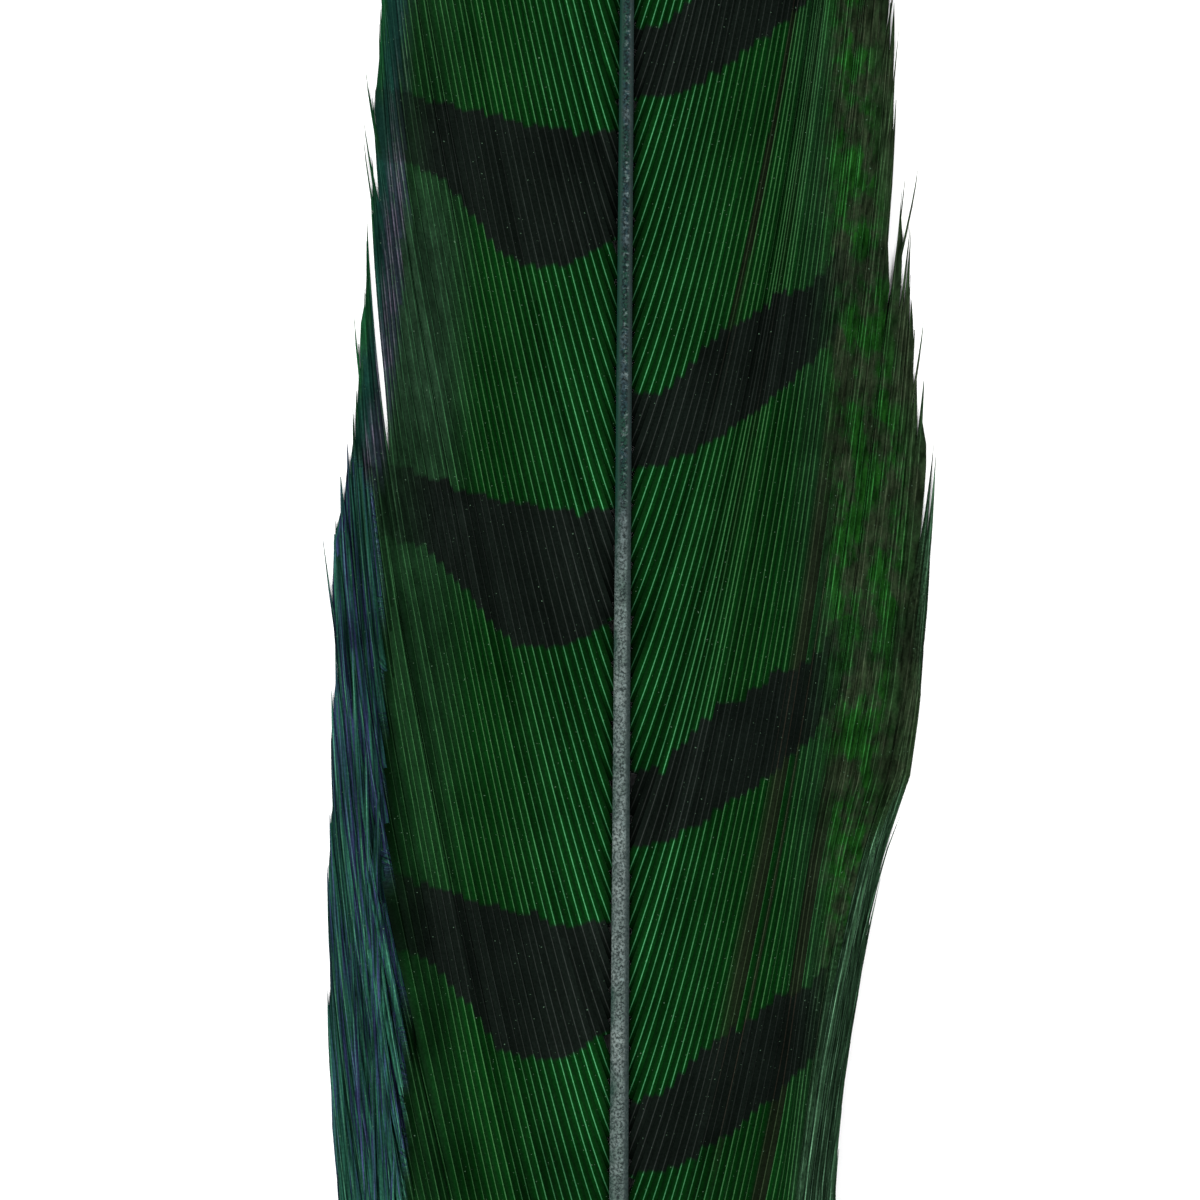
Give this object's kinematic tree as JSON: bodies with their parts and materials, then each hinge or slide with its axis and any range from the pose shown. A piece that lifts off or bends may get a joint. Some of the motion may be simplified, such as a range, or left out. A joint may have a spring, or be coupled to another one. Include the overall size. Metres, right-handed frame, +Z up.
{
  "type": "pheasant tail feather",
  "caption": "Long dyed-green barred tail feather of a ring-necked pheasant, lying flat: quill, tapering shaft, two vanes with open splits, and down at the base.",
  "frame": {"origin": "middle of the feather's box in X and Y, at the height of the surface it lies on", "axes": "+Y from the quill end to the tip, +X to the right as seen from above with the tip away, +Z up out of the upper side"},
  "size_m": [0.0388, 0.4799, 0.0044],
  "materials": {
    "shaft_keratin": "satin horn, slate to pale grey, faintly mottled",
    "green_barbs": "dyed green barbs with black bars, softly glossy ridges",
    "down": "fluffy grey-green down"
  },
  "bodies": {
    "root": {"shaft": "shaft_keratin", "left_web_lower": "green_barbs", "left_web_upper": "green_barbs", "right_web_lower": "green_barbs", "right_web_middle": "green_barbs", "right_web_upper": "green_barbs", "left_down": "down", "right_down": "down"}
  },
  "joints": []
}
